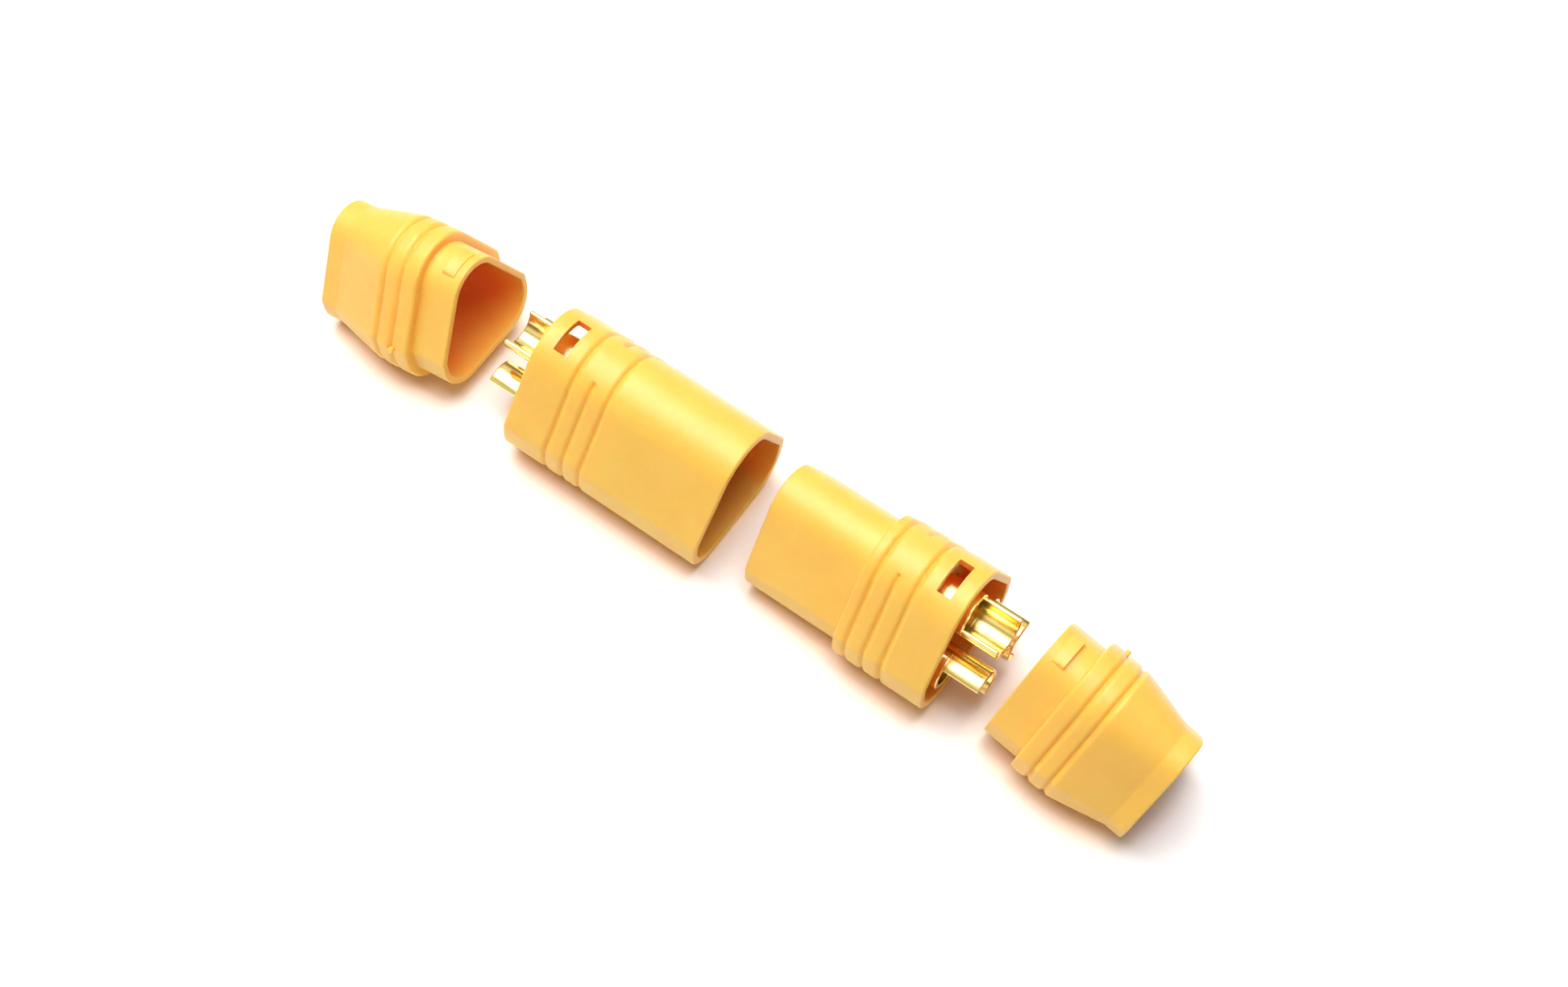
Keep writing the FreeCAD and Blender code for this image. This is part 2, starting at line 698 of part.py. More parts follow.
check(doc.Objects)
for body, _ in pieces:
    for feature in body.Group:
        if feature.isDerivedFrom("PartDesign::SketchBased") and feature.BaseFeature:
            if abs(feature.Shape.Volume - feature.BaseFeature.Shape.Volume) < 1e-6:
                raise RuntimeError("%s of %s changes nothing" % (feature.Label, body.Label))
    shape = body.Shape
    if shape.isNull() or not shape.isValid() or len(shape.Solids) != 1:
        raise RuntimeError("%s has no sound solid" % body.Label)

os.makedirs("parts", exist_ok=True)
for body, _ in pieces:
    body.Shape.exportStep("parts/%s.step" % body.Label)
    box = body.Shape.BoundBox
    print("%-22s %8.1f mm3  x %.2f to %.2f  z %.3f to %.3f" % (
        body.Label, body.Shape.Volume, box.XMin, box.XMax, box.ZMin, box.ZMax))
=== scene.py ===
# %% [markdown]
# # A three-pole bullet connector, laid out on a white table
#
# The row holds two halves and two cable caps. Every moulding has the same section: a flat foot, a
# gabled roof and a round apex. That section is swept along a profile, so one short list of stations
# makes each whole moulding. The contacts are turned, so each needs only a profile.
#
# The imported model comes first. Each of its parts is hidden once a finished piece takes its place.

import math

import bmesh
import bpy
from mathutils import Matrix, Vector


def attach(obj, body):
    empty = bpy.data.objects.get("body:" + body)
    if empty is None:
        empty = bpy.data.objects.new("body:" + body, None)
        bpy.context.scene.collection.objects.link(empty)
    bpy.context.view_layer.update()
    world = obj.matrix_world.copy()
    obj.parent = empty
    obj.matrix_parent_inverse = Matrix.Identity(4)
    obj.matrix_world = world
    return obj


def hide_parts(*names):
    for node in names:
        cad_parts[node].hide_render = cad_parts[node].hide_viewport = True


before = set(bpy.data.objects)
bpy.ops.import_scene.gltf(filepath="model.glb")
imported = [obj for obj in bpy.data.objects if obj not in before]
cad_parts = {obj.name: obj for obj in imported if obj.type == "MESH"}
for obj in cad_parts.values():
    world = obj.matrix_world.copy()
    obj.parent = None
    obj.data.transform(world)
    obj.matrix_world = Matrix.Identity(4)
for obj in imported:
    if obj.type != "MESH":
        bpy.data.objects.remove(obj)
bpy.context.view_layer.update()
print("CAD nodes:", ", ".join(sorted(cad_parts)))

# %% [markdown]
# ## Sizes
#
# These are the real object's sizes in millimetres. Stations run along a moulding from its rear, or
# from its mouth on a cap. An inset says how far a skin lies inside the housing's outline. WINDOW
# and LATCH each hold a start, an end and half a width.
#
# The roof's facing, the middle groove's break and the gate's lean are angles in degrees.

# %% Sizes in millimetres
MM = 0.001

HOUSING_WIDTH = 16.0
HOUSING_HEIGHT = 15.6
ROOF_FACING = 30.0
ROOF_PITCH = math.radians(90.0 - ROOF_FACING)
APEX_RADIUS = 4.8
SHOULDER_RADIUS = 1.3
FOOT_RADIUS = 4.9
INNER_CORNER = 0.5

SHROUD_WALL = 0.9
COLLAR_WALL = 0.85
CAP_WALL = 0.7
PLUG_CLEARANCE = 0.15
PIN_HOUSING = 23.35
COLLAR = 10.45
NOSE = 11.3
SHROUD_DEPTH = 11.6
REAR_WEB = 4.6
GROOVES = (5.0, 7.06, 9.12)
GROOVE_WIDTH = 0.72
GROOVE_DEPTH = 0.38
GROOVE_ROUND = 0.5
GROOVE_FLOOR_ROUND = 0.08
GROOVE_BREAK = 33.0
BREAK_BLEND = 3.0
RING_ROUND = 0.32
OUTER_ROUND = 0.22
INNER_ROUND = 0.12
WINDOW = (1.7, 3.3, 2.1)
LATCH = (0.85, 2.25, 1.75)
LATCH_RISE = (0.1, 0.45)

CONTACT_SPACING = 6.7
CONTACT_RAISE = 0.1
PIN_RADIUS = 1.75
TUBE_RADIUS = 2.25
BARREL_RADIUS = 2.35
HOLE_CLEARANCE = 0.05
BARREL_SEAT = 9.0
BARBS = (6.0, 7.0)
BARB_LENGTH = 0.8
BARB_RISE = 0.03
CUP_END = -4.2
CUP_FLOOR = 1.2
CUP_RADIUS = 1.85
CUP_CUT = 0.35
CUP_COLLAR = 0.2
CUP_RIM_ROUND = 0.19
CUP_END_ROUND = 0.15
PIN_TIP = PIN_HOUSING - 2.3
SLOT_LENGTH = 6.5
SLOT_HALF = 0.3
NOSE_END = COLLAR + NOSE
MOUTH_RADIUS = 1.95
MOUTH_DEPTH = 1.6
SOCKET_RADIUS = 1.77
SOCKET_MOUTH = NOSE_END - 0.8
SOCKET_FLOOR = SOCKET_MOUTH - 8.7

SKIRT = 4.05
RING = 1.97
RINGS_END = SKIRT + 2 * RING
FLARE_START = 2.0
FLARE_START_INSET = 0.4
FLARE_END = 14.4
CAP = 16.4
TAIL_INSET = 1.55
LATCH_ROUND = 0.15
GATE_STATION = 5.8
GATE_LEAN = 15.0
GATE_DEPTH = 0.15
NUB_RADIUS = 0.3

MERGE = 1e-4
ROUND_SEGMENTS = 96

APEX_CENTRE = HOUSING_HEIGHT - APEX_RADIUS


def shoulder_centre(inset, corner):
    """How high the shoulder's centre is where the section is moved in by the inset."""
    across = HOUSING_WIDTH / 2 - inset - corner
    rise = APEX_RADIUS - inset - corner - math.sin(ROOF_PITCH) * across
    return APEX_CENTRE + rise / math.cos(ROOF_PITCH)


NOSE_INSET = SHROUD_WALL + PLUG_CLEARANCE
SKIRT_INSET = COLLAR_WALL + PLUG_CLEARANCE
print("nose inset %.2f mm, skirt inset %.2f mm" % (NOSE_INSET, SKIRT_INSET))

# %% [markdown]
# ## Where each piece lies
#
# The pin half stands level. The socket half leans on its nose, because the nose is slimmer than
# the collar. One cap leans on its tail, and the other lies almost level on its rings.
#
# A placement is a matrix in millimetres. It takes a piece's own frame, with X along the piece,
# to the table.

# %% Placements
def turned(axis, degrees):
    return Matrix.Rotation(math.radians(degrees), 4, axis)


def moved(x=0.0, y=0.0, z=0.0):
    return Matrix.Translation((x, y, z))


def lying(x, y, yaw, dip, pivot, lift=0.0):
    """Tipped about an edge of the foot, then turned and moved on the table."""
    return moved(x, y, lift) @ turned("Z", yaw) @ turned("Y", dip) @ moved(-pivot)


def cap_lying(x, y, yaw, dip):
    """A cap tipped towards its tail, with its lowest foot edge on the table."""
    angle = math.radians(dip)
    foot = [(0.0, 0.0), (FLARE_START, FLARE_START_INSET), (CAP - RINGS_END, TAIL_INSET)]
    lowest = min(up * math.cos(angle) - along * math.sin(angle) for along, up in foot)
    return lying(x, y, yaw, dip, RINGS_END, -lowest)


HALVES_GAP = 5.49
PIN_CAP_GAP = 7.31
SOCKET_CAP_GAP = 5.89

pin_rear = -(GROOVES[2] + PIN_HOUSING) / 2
socket_step = pin_rear + PIN_HOUSING + HALVES_GAP + NOSE
pin_cap_x = pin_rear - PIN_CAP_GAP - RINGS_END
socket_cap_x = socket_step + COLLAR + SOCKET_CAP_GAP + RINGS_END
nose_dip = math.degrees(math.atan2(NOSE_INSET, NOSE))
tail_dip = math.degrees(math.atan2(TAIL_INSET, CAP - RINGS_END))
PLACES = {
    "pin_half": moved(pin_rear),
    "socket_half": lying(socket_step, 0.56, 180.0 - 2.24, nose_dip, COLLAR),
    "pin_side_cap": cap_lying(pin_cap_x, 0.0, 180.0 + 1.45, tail_dip),
    "socket_side_cap": cap_lying(socket_cap_x, 0.28, -6.08, 3.7),
}

contacts_middle = HOUSING_HEIGHT / 2 + CONTACT_RAISE
half_rise = CONTACT_SPACING * math.tan(ROOF_PITCH) / 4
CONTACTS = {
    "top": moved(0, 0, contacts_middle + half_rise),
    "left": moved(0, -CONTACT_SPACING / 2, contacts_middle - half_rise) @ turned("X", 120.0),
    "right": moved(0, CONTACT_SPACING / 2, contacts_middle - half_rise) @ turned("X", -120.0),
}
print("pin half from %.2f mm, socket half dips %.1f degrees" % (pin_rear, nose_dip))

# %% [markdown]
# ## Paths with soft corners
#
# Moulded edges are never sharp. This helper takes corners, each with a radius, and puts an arc at
# every one. Beside each arc it adds a point close by, which keeps the flats' shading flat.

# %% Soft paths
def soft_path(corners, closed=False, steps=5, support=0.03):
    """Points along a path of corners (x, y, radius, tag), with an arc at each corner."""
    result = []
    count = len(corners)
    long_enough = 8 * support
    for index, (x, y, radius, tag) in enumerate(corners):
        here = Vector((x, y))
        if radius == 0 or (not closed and index in (0, count - 1)):
            result.append((x, y, tag))
            continue
        back = Vector(corners[index - 1][:2]) - here
        on = Vector(corners[(index + 1) % count][:2]) - here
        half = back.angle(on) / 2
        reach = radius / math.tan(half)
        centre = here + (back.normalized() + on.normalized()).normalized() * radius / math.sin(half)
        start = here + back.normalized() * reach
        end = here + on.normalized() * reach
        if back.length > reach + long_enough:
            near = start + back.normalized() * support
            result.append((near.x, near.y, tag))
        for step in range(steps + 1):
            ray = (start - centre).slerp(end - centre, step / steps).normalized() * radius
            result.append((centre.x + ray.x, centre.y + ray.y, tag))
        if on.length > reach + long_enough:
            near = end + on.normalized() * support
            result.append((near.x, near.y, tag))
    return result


def groove(station, tag="", base=0.0):
    """The corners of a soft V-shaped grip groove across the skin, at a base inset."""
    half = GROOVE_WIDTH / 2
    return [
        (station - half, base, GROOVE_ROUND, tag),
        (station, base + GROOVE_DEPTH, GROOVE_FLOOR_ROUND, tag),
        (station + half, base, GROOVE_ROUND, tag),
    ]


print("a groove's corners:", groove(GROOVES[0]))

# %% [markdown]
# ## The shared section
#
# The section is an outline with the same number of points at any inset. That lets a sweep join
# one station to the next point by point. Each point also carries its angle from the apex, which
# the broken groove needs.

# %% The section
def section(inset):
    """Points (across, up, angle from the apex) round the outline, moved in by the inset."""
    side = HOUSING_WIDTH / 2 - inset
    apex = APEX_RADIUS - inset
    shoulder = max(SHOULDER_RADIUS - inset, INNER_CORNER)
    foot = max(FOOT_RADIUS - inset, INNER_CORNER)
    shoulder_z = shoulder_centre(inset, shoulder)
    half = []

    def run(start, end, count):
        for step in range(count):
            share = (step + 0.5) / count
            across = start[0] + (end[0] - start[0]) * share
            up = start[1] + (end[1] - start[1]) * share
            half.append((across, up, 90.0))

    def arc(across, up, radius, start, end, count):
        for step in range(count + 1):
            angle = math.radians(start + (end - start) * step / count)
            from_top = 90.0 - math.degrees(angle) if across == 0.0 else 90.0
            half.append((
                across + radius * math.cos(angle), up + radius * math.sin(angle), from_top))

    facing = math.radians(ROOF_FACING)
    run((0.0, inset), (side - foot, inset), 6)
    arc(side - foot, inset + foot, foot, -90.0, 0.0, 16)
    run((side, inset + foot), (side, shoulder_z), 2)
    arc(side - shoulder, shoulder_z, shoulder, 0.0, ROOF_FACING, 6)
    eave = (side - shoulder + shoulder * math.cos(facing), shoulder_z + shoulder * math.sin(facing))
    run(eave, (apex * math.cos(facing), APEX_CENTRE + apex * math.sin(facing)), 12)
    arc(0.0, APEX_CENTRE, apex, ROOF_FACING, 90.0, 40)
    mirrored = [(-across, up, angle) for across, up, angle in reversed(half[:-1])]
    return half + mirrored


def pairs(ring):
    """Each point of a closed ring with the point after it."""
    return zip(ring, ring[1:] + ring[:1])


def lofted(name, loops, closed=False):
    """One loop of points, extruded and moved to each next loop, with lids at open ends."""
    mesh = bmesh.new()
    ring = [mesh.verts.new(point) for point in loops[0]]
    for pair in pairs(ring):
        mesh.edges.new(pair)
    if not closed:
        mesh.faces.new(ring)
    for loop in loops[1:] + (loops[:1] if closed else []):
        edges = [mesh.edges.get(pair) for pair in pairs(ring)]
        grown = set(bmesh.ops.extrude_edge_only(mesh, edges=edges)["geom"])
        ring = [
            next(e.other_vert(v) for e in v.link_edges if e.other_vert(v) in grown) for v in ring]
        for vertex, point in zip(ring, loop):
            vertex.co = point
    if not closed:
        mesh.faces.new(ring)
    bmesh.ops.remove_doubles(mesh, verts=mesh.verts[:], dist=MERGE)
    return finished(name, mesh)


def swept(name, path, closed=False):
    """The section swept along a path of (station, inset, tag). "broken" fades near the apex."""
    skin = section(0.0)
    loops = []
    for station, inset, tag in path:
        loop = []
        for (across, up, angle), (skin_across, skin_up, _) in zip(section(inset), skin):
            if tag == "broken":
                share = (GROOVE_BREAK + BREAK_BLEND / 2 - angle) / BREAK_BLEND
                share = min(max(share, 0.0), 1.0)
                across += (skin_across - across) * share
                up += (skin_up - up) * share
            loop.append((station, across, up))
        loops.append(loop)
    return lofted(name, loops, closed)


def finished(name, mesh):
    """An object in the scene from a bmesh that is in millimetres, still in its own frame."""
    bmesh.ops.recalc_face_normals(mesh, faces=mesh.faces[:])
    if mesh.calc_volume(signed=True) < 0:
        bmesh.ops.reverse_faces(mesh, faces=mesh.faces[:])
    data = bpy.data.meshes.new(name)
    mesh.to_mesh(data)
    mesh.free()
    item = bpy.data.objects.new(name, data)
    bpy.context.scene.collection.objects.link(item)
    return item


print("section of %d points" % len(section(0.0)))

# %% [markdown]
# ## Cutting and joining
#
# Windows, contact holes and slots are cut with boolean modifiers, which are applied at once. A
# cutter is a rounded bar, so even a window's corners are soft, and it reaches a little past what
# it cuts.

# %% Cutters
SHARP_FROM = math.radians(38.0)
PAST = 1.0


def bar(x_range, y_range, z_range, radius=0.0):
    """A straight bar, with its upright edges rounded by the radius."""
    mesh = bmesh.new()
    bmesh.ops.create_cube(mesh, size=1.0)
    ranges = (x_range, y_range, z_range)
    for vertex in mesh.verts:
        vertex.co = Vector([low if at < 0 else high for (low, high), at in zip(ranges, vertex.co)])
    if radius:
        edges = [e for e in mesh.edges if abs((e.verts[0].co - e.verts[1].co).z) > 1e-6]
        bmesh.ops.bevel(mesh, geom=edges, offset=radius, segments=4, profile=0.5, affect="EDGES")
    return finished("cutter", mesh)


def rod(start, end, radius, where, segments=ROUND_SEGMENTS):
    """A round bar along the X axis of the matrix."""
    mesh = bmesh.new()
    bmesh.ops.create_cone(
        mesh, cap_ends=True, segments=segments, radius1=radius, radius2=radius, depth=end - start,
        matrix=where @ moved((start + end) / 2) @ turned("Y", 90.0))
    return finished("cutter", mesh)


def combined(item, others, operation):
    """The item with the others taken away, or added."""
    for other in others:
        modifier = item.modifiers.new(operation, "BOOLEAN")
        modifier.operation = operation
        modifier.solver = "MANIFOLD"
        modifier.object = other
    graph = bpy.context.evaluated_depsgraph_get()
    data = bpy.data.meshes.new_from_object(item.evaluated_get(graph))
    item.modifiers.clear()
    item.data = data
    for other in others:
        bpy.data.objects.remove(other)


def place(item, matrix, slot, *nodes):
    """Takes the finished piece from its own frame to the table, in metres, and onto the frame."""
    item.data.transform(Matrix.Scale(MM, 4) @ matrix)
    item.data.shade_smooth()
    item.data.set_sharp_from_angle(angle=SHARP_FROM)
    item.data.materials.clear()
    item.data.materials.append(MATERIALS[slot])
    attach(item, "root")
    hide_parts(*nodes)


print("edges of more than %.0f degrees are drawn sharp" % math.degrees(SHARP_FROM))

# %% [markdown]
# ## Materials
#
# The mouldings are satin nylon. Light enters it a little way, which subsurface scattering gives, so
# thin rims glow. In a hollow the light has been through the plastic several times and turns deep
# orange. Bounces alone leave it too brown, so an Ambient Occlusion node finds the hollows and
# paints that deep orange shade into their colour. Very fine mottling keeps the skin from looking
# like paint.
#
# The contacts are gold-plated brass. The plating is bright, with faint turning marks round it.

# %% Materials
def new_material(name):
    material = bpy.data.materials.new(name)
    material.use_nodes = True
    nodes = material.node_tree.nodes
    return material, nodes, material.node_tree.links, nodes["Principled BSDF"]


def noise(nodes, links, scale, detail, coordinates, stretch=(1.0, 1.0, 1.0)):
    """A noise texture in the object's own coordinates, which are metres."""
    mapping = nodes.new("ShaderNodeMapping")
    mapping.inputs["Scale"].default_value = stretch
    links.new(coordinates, mapping.inputs["Vector"])
    texture = nodes.new("ShaderNodeTexNoise")
    texture.inputs["Scale"].default_value = scale
    texture.inputs["Detail"].default_value = detail
    links.new(mapping.outputs["Vector"], texture.inputs["Vector"])
    return texture.outputs["Fac"]


def ramp(nodes, links, source, stops):
    """A colour ramp from pairs of place and colour."""
    item = nodes.new("ShaderNodeValToRGB")
    while len(item.color_ramp.elements) < len(stops):
        item.color_ramp.elements.new(0.5)
    for element, (at, colour) in zip(item.color_ramp.elements, stops):
        element.position = at
        element.color = (*colour, 1.0)
    links.new(source, item.inputs["Fac"])
    return item.outputs["Color"]


def remapped(nodes, links, source, read=(0.0, 1.0), give=(0.0, 1.0)):
    """A value taken from the range that is read to the range that is given, and kept inside it."""
    item = nodes.new("ShaderNodeMapRange")
    item.inputs["From Min"].default_value, item.inputs["From Max"].default_value = read
    item.inputs["To Min"].default_value, item.inputs["To Max"].default_value = give
    links.new(source, item.inputs["Value"])
    return item.outputs["Result"]


def openness(nodes, links, distance, read, own_shape=False):
    """0 in a hollow and 1 in the open, by what stands within the distance."""
    item = nodes.new("ShaderNodeAmbientOcclusion")
    item.only_local = own_shape
    item.samples = 8
    item.inputs["Distance"].default_value = distance
    return remapped(nodes, links, item.outputs["AO"], read)


def tint_mix(nodes, links, factor, tint):
    """A mix that gives the tint where the factor is 0, and its B where the factor is 1."""
    item = nodes.new("ShaderNodeMix")
    item.data_type = "RGBA"
    item.inputs["A"].default_value = (*tint, 1.0)
    links.new(factor, item.inputs["Factor"])
    return item


def shader_mix(nodes, links, factor, first, second):
    """The first shader where the factor is 0, and the second where it is 1."""
    item = nodes.new("ShaderNodeMixShader")
    for source, socket in zip((factor, first, second), item.inputs):
        links.new(source, socket)
    return item.outputs["Shader"]


def textured(nodes, links, shader, source, roughness, strength, height):
    """One fine texture gives the roughness, within a range, and the bump."""
    links.new(remapped(nodes, links, source, give=roughness), shader.inputs["Roughness"])
    bump = nodes.new("ShaderNodeBump")
    bump.inputs["Strength"].default_value = strength
    bump.inputs["Distance"].default_value = height
    links.new(source, bump.inputs["Height"])
    links.new(bump.outputs["Normal"], shader.inputs["Normal"])


def nylon():
    material, nodes, links, shader = new_material("satin_nylon")
    own = nodes.new("ShaderNodeTexCoord").outputs["Object"]
    cloud = noise(nodes, links, 260.0, 3.0, own)
    skin = ramp(nodes, links, cloud, [
        (0.30, (0.918, 0.528, 0.077)),
        (0.52, (0.935, 0.545, 0.084)),
        (0.74, (0.945, 0.563, 0.092)),
    ])
    # Painted shade: an AO mask tints the hollows a deeper red-orange, standing in for light that
    # has passed through the plastic there.
    hollow = openness(nodes, links, 0.014, (0.30, 0.62), own_shape=True)
    painted_hollow_shade = tint_mix(nodes, links, hollow, (0.880, 0.270, 0.055))
    links.new(skin, painted_hollow_shade.inputs["B"])
    links.new(painted_hollow_shade.outputs["Result"], shader.inputs["Base Color"])
    grain = noise(nodes, links, 5200.0, 2.0, own)
    textured(nodes, links, shader, grain, (0.36, 0.50), 0.10, 0.00003)
    shader.inputs["Subsurface Weight"].default_value = 0.75
    shader.inputs["Subsurface Radius"].default_value = (1.0, 0.26, 0.05)
    shader.inputs["Subsurface Scale"].default_value = 0.0014
    shader.inputs["IOR"].default_value = 1.52
    return material


def plating():
    material, nodes, links, shader = new_material("gold_plating")
    own = nodes.new("ShaderNodeTexCoord").outputs["Object"]
    cloud = noise(nodes, links, 420.0, 3.0, own)
    gold = ramp(nodes, links, cloud, [
        (0.30, (0.920, 0.690, 0.220)),
        (0.55, (0.950, 0.750, 0.290)),
        (0.78, (0.970, 0.810, 0.390)),
    ])
    links.new(gold, shader.inputs["Base Color"])
    marks = noise(nodes, links, 900.0, 2.0, own, (9.0, 1.0, 1.0))
    textured(nodes, links, shader, marks, (0.15, 0.22), 0.03, 0.00002)
    shader.inputs["Metallic"].default_value = 1.0
    return material


MATERIALS = {"housing": nylon(), "contact": plating()}
print("materials:", ", ".join(m.name for m in MATERIALS.values()))

# %% [markdown]
# ## The two housings
#
# Each housing's path starts at the web's rear face, runs out over the collar's rim, forward along
# the outside with its grooves, and back in at the front. The middle groove stops short of the
# apex. Then the latch window and the contact holes are cut.

# %% The housings
def rear_path():
    """The collar, from the web's rear face to the last groove."""
    return [
        (REAR_WEB, COLLAR_WALL, 0.0, ""),
        (0.0, COLLAR_WALL, INNER_ROUND, ""),
        (0.0, 0.0, OUTER_ROUND, ""),
    ] + groove(GROOVES[0]) + groove(GROOVES[1], "broken") + groove(GROOVES[2])


def housing_cuts(front_radius, front_end):
    """Cutters for the latch window, the contact seats and the holes ahead of them."""
    start, end, half = WINDOW
    cuts = [bar((start, end), (-half, half), (APEX_CENTRE, HOUSING_HEIGHT + PAST), INNER_ROUND)]
    for inside in CONTACTS.values():
        cuts.append(rod(REAR_WEB - PAST, BARREL_SEAT, BARREL_RADIUS + HOLE_CLEARANCE, inside))
        cuts.append(rod(BARREL_SEAT - PAST / 2, front_end, front_radius, inside))
    return cuts


pin_path = soft_path(rear_path() + [
    (PIN_HOUSING, 0.0, OUTER_ROUND, ""),
    (PIN_HOUSING, SHROUD_WALL, 0.15, ""),
    (PIN_HOUSING - SHROUD_DEPTH, SHROUD_WALL, 0.0, ""),
])
pin_housing = swept("pin_housing_moulding", pin_path)
pin_cuts = housing_cuts(PIN_RADIUS + HOLE_CLEARANCE, PIN_HOUSING - SHROUD_DEPTH + PAST)
combined(pin_housing, pin_cuts, "DIFFERENCE")
place(pin_housing, PLACES["pin_half"], "housing", "pin_housing")

socket_path = soft_path(rear_path() + [
    (COLLAR, 0.0, OUTER_ROUND, ""),
    (COLLAR, NOSE_INSET, 0.08, ""),
    (NOSE_END, NOSE_INSET, 0.25, ""),
    (NOSE_END, 3.0, 0.0, ""),
])
socket_housing = swept("socket_housing_moulding", socket_path)
socket_cuts = housing_cuts(TUBE_RADIUS + HOLE_CLEARANCE, SOCKET_MOUTH)
for inside in CONTACTS.values():
    socket_cuts.append(rod(NOSE_END - MOUTH_DEPTH, NOSE_END + PAST, MOUTH_RADIUS, inside))
combined(socket_housing, socket_cuts, "DIFFERENCE")
place(socket_housing, PLACES["socket_half"], "housing", "socket_housing")
for moulding in (pin_housing, socket_housing):
    print("%s has %d faces" % (moulding.name, len(moulding.data.polygons)))

# %% [markdown]
# ## The two cable caps
#
# A cap is a thin tube all the way, so its path is closed: out along the skin and back inside. The
# skirt at the mouth plugs into a collar, and the wedge on it snaps into the collar's window. The
# moulding's gate left an oval dimple and a nub on one shoulder.

# %% The caps
CAP_PATH = soft_path([
    (0.0, SKIRT_INSET, 0.14, ""),
    (SKIRT, SKIRT_INSET, 0.08, ""),
    (SKIRT, 0.0, RING_ROUND, ""),
] + groove(SKIRT + RING) + groove(RINGS_END, base=0.02) + [
    (RINGS_END + FLARE_START, FLARE_START_INSET, 3.0, ""),
    (FLARE_END, TAIL_INSET, 0.8, ""),
    (CAP, TAIL_INSET, 0.2, ""),
    (CAP, TAIL_INSET + CAP_WALL, INNER_ROUND, ""),
    (FLARE_END, TAIL_INSET + CAP_WALL, 0.5, ""),
    (RINGS_END, SKIRT_INSET + CAP_WALL, 1.0, ""),
    (0.0, SKIRT_INSET + CAP_WALL, INNER_ROUND, ""),
], closed=True)


def latch_wedge():
    """The ramp on the skirt's round apex, steep towards the rings, with soft edges."""
    front, back, half = LATCH
    skin = APEX_RADIUS - SKIRT_INSET
    side_view = soft_path([
        (front, skin - CAP_WALL, 0.0, ""),
        (front, skin + LATCH_RISE[0], 0.08, ""),
        (back, skin + LATCH_RISE[1], 0.1, ""),
        (back, skin - CAP_WALL, 0.0, ""),
    ])
    stops = []
    for degrees in (90, 60, 30, 0):
        angle = math.radians(degrees)
        inwards = LATCH_ROUND * (1 - math.sin(angle))
        stops.append((half - inwards, LATCH_ROUND * (1 - math.cos(angle))))
    stops += [(half * share, 0.0) for share in (0.75, 0.5, 0.25, 0.0)]
    stops += [(-across, drop) for across, drop in reversed(stops[:-1])]
    loops = []
    for across, drop in stops:
        heights = [APEX_CENTRE + math.sqrt(radius ** 2 - across ** 2) for _, radius, _ in side_view]
        heights = [z if i in (0, len(heights) - 1) else z - drop for i, z in enumerate(heights)]
        loops.append([(x, across, z) for (x, _, _), z in zip(side_view, heights)])
    return lofted("latch", loops)


def gate_frame():
    """The gate's frame: Z out of the shoulder, X along the cap, origin on the dimple's floor."""
    lean = math.radians(GATE_LEAN)
    reach = SHOULDER_RADIUS - GATE_DEPTH
    across = HOUSING_WIDTH / 2 - SHOULDER_RADIUS + reach * math.cos(lean)
    up = shoulder_centre(0.0, SHOULDER_RADIUS) + reach * math.sin(lean)
    return moved(GATE_STATION, across, up) @ turned("X", -90.0 + GATE_LEAN)


def cable_cap(name, node):
    """A whole cap: the tube, the gate's dimple and nub, and the latch wedge."""
    item = swept(name, CAP_PATH, closed=True)
    half_long, half_wide, deep = 0.55, 1.0, 1.5
    dimple = bar((-half_long, half_long), (-half_wide, half_wide), (0.0, deep), 0.54)
    dimple.data.transform(gate_frame())
    combined(item, [dimple], "DIFFERENCE")
    nub = rod(-0.3, 0.5, NUB_RADIUS, gate_frame() @ turned("Y", -90.0), 24)
    combined(item, [latch_wedge(), nub], "UNION")
    place(item, PLACES[node], "housing", node)
    return item


for cap_node in ("pin_side_cap", "socket_side_cap"):
    cap = cable_cap(cap_node + "_moulding", cap_node)
    print("%s has %d faces" % (cap.name, len(cap.data.polygons)))

# %% [markdown]
# ## The contacts
#
# A contact is turned from bar. Its rear end is a solder cup whose upper side is cut away, which
# leaves a trough. The trough is lofted from its own C-shaped section, so its two rims are soft and
# catch the light as the real ones do.

# %% The contacts
def lathe(name, path):
    """A profile of (station, radius) spun about X, on the axis at both ends."""
    mesh = bmesh.new()
    profile = [mesh.verts.new((station, radius, 0.0)) for station, radius, _ in path]
    edges = [mesh.edges.new(pair) for pair in zip(profile, profile[1:])]
    bmesh.ops.spin(
        mesh, geom=profile + edges, axis=(1.0, 0.0, 0.0), cent=(0.0, 0.0, 0.0),
        angle=math.tau, steps=ROUND_SEGMENTS, use_merge=True)
    bmesh.ops.remove_doubles(mesh, verts=mesh.verts[:], dist=MERGE)
    return finished(name, mesh)


def trough_section(shrink):
    """The cup's C, its wall made thinner by the shrink on every side."""
    outer = BARREL_RADIUS - shrink
    inner = CUP_RADIUS + shrink
    rim = CUP_CUT - shrink
    corners = []
    steps = 40
    for radius, direction in ((outer, 1), (inner, -1)):
        start = math.asin(rim / radius)
        sweep = math.pi + 2 * start
        for step in range(steps + 1)[::direction]:
            angle = start - sweep * step / steps
            soft = CUP_RIM_ROUND - shrink if step in (0, steps) else 0.0
            corners.append((radius * math.cos(angle), radius * math.sin(angle), soft, ""))
    return soft_path(corners, closed=True, steps=4, support=1.0)


def trough():
    """The open length of the solder cup, rounded at its end."""
    soft = CUP_END_ROUND
    stations = [(-CUP_COLLAR + 0.05, 0.0), (CUP_END + soft, 0.0)]
    for degrees in (30, 60, 90):
        angle = math.radians(degrees)
        stations.append((CUP_END + soft - soft * math.sin(angle), soft - soft * math.cos(angle)))
    loops = []
    for station, shrink in stations:
        loops.append([(station, across, up) for across, up, _ in trough_section(shrink)])
    return lofted("trough", loops)


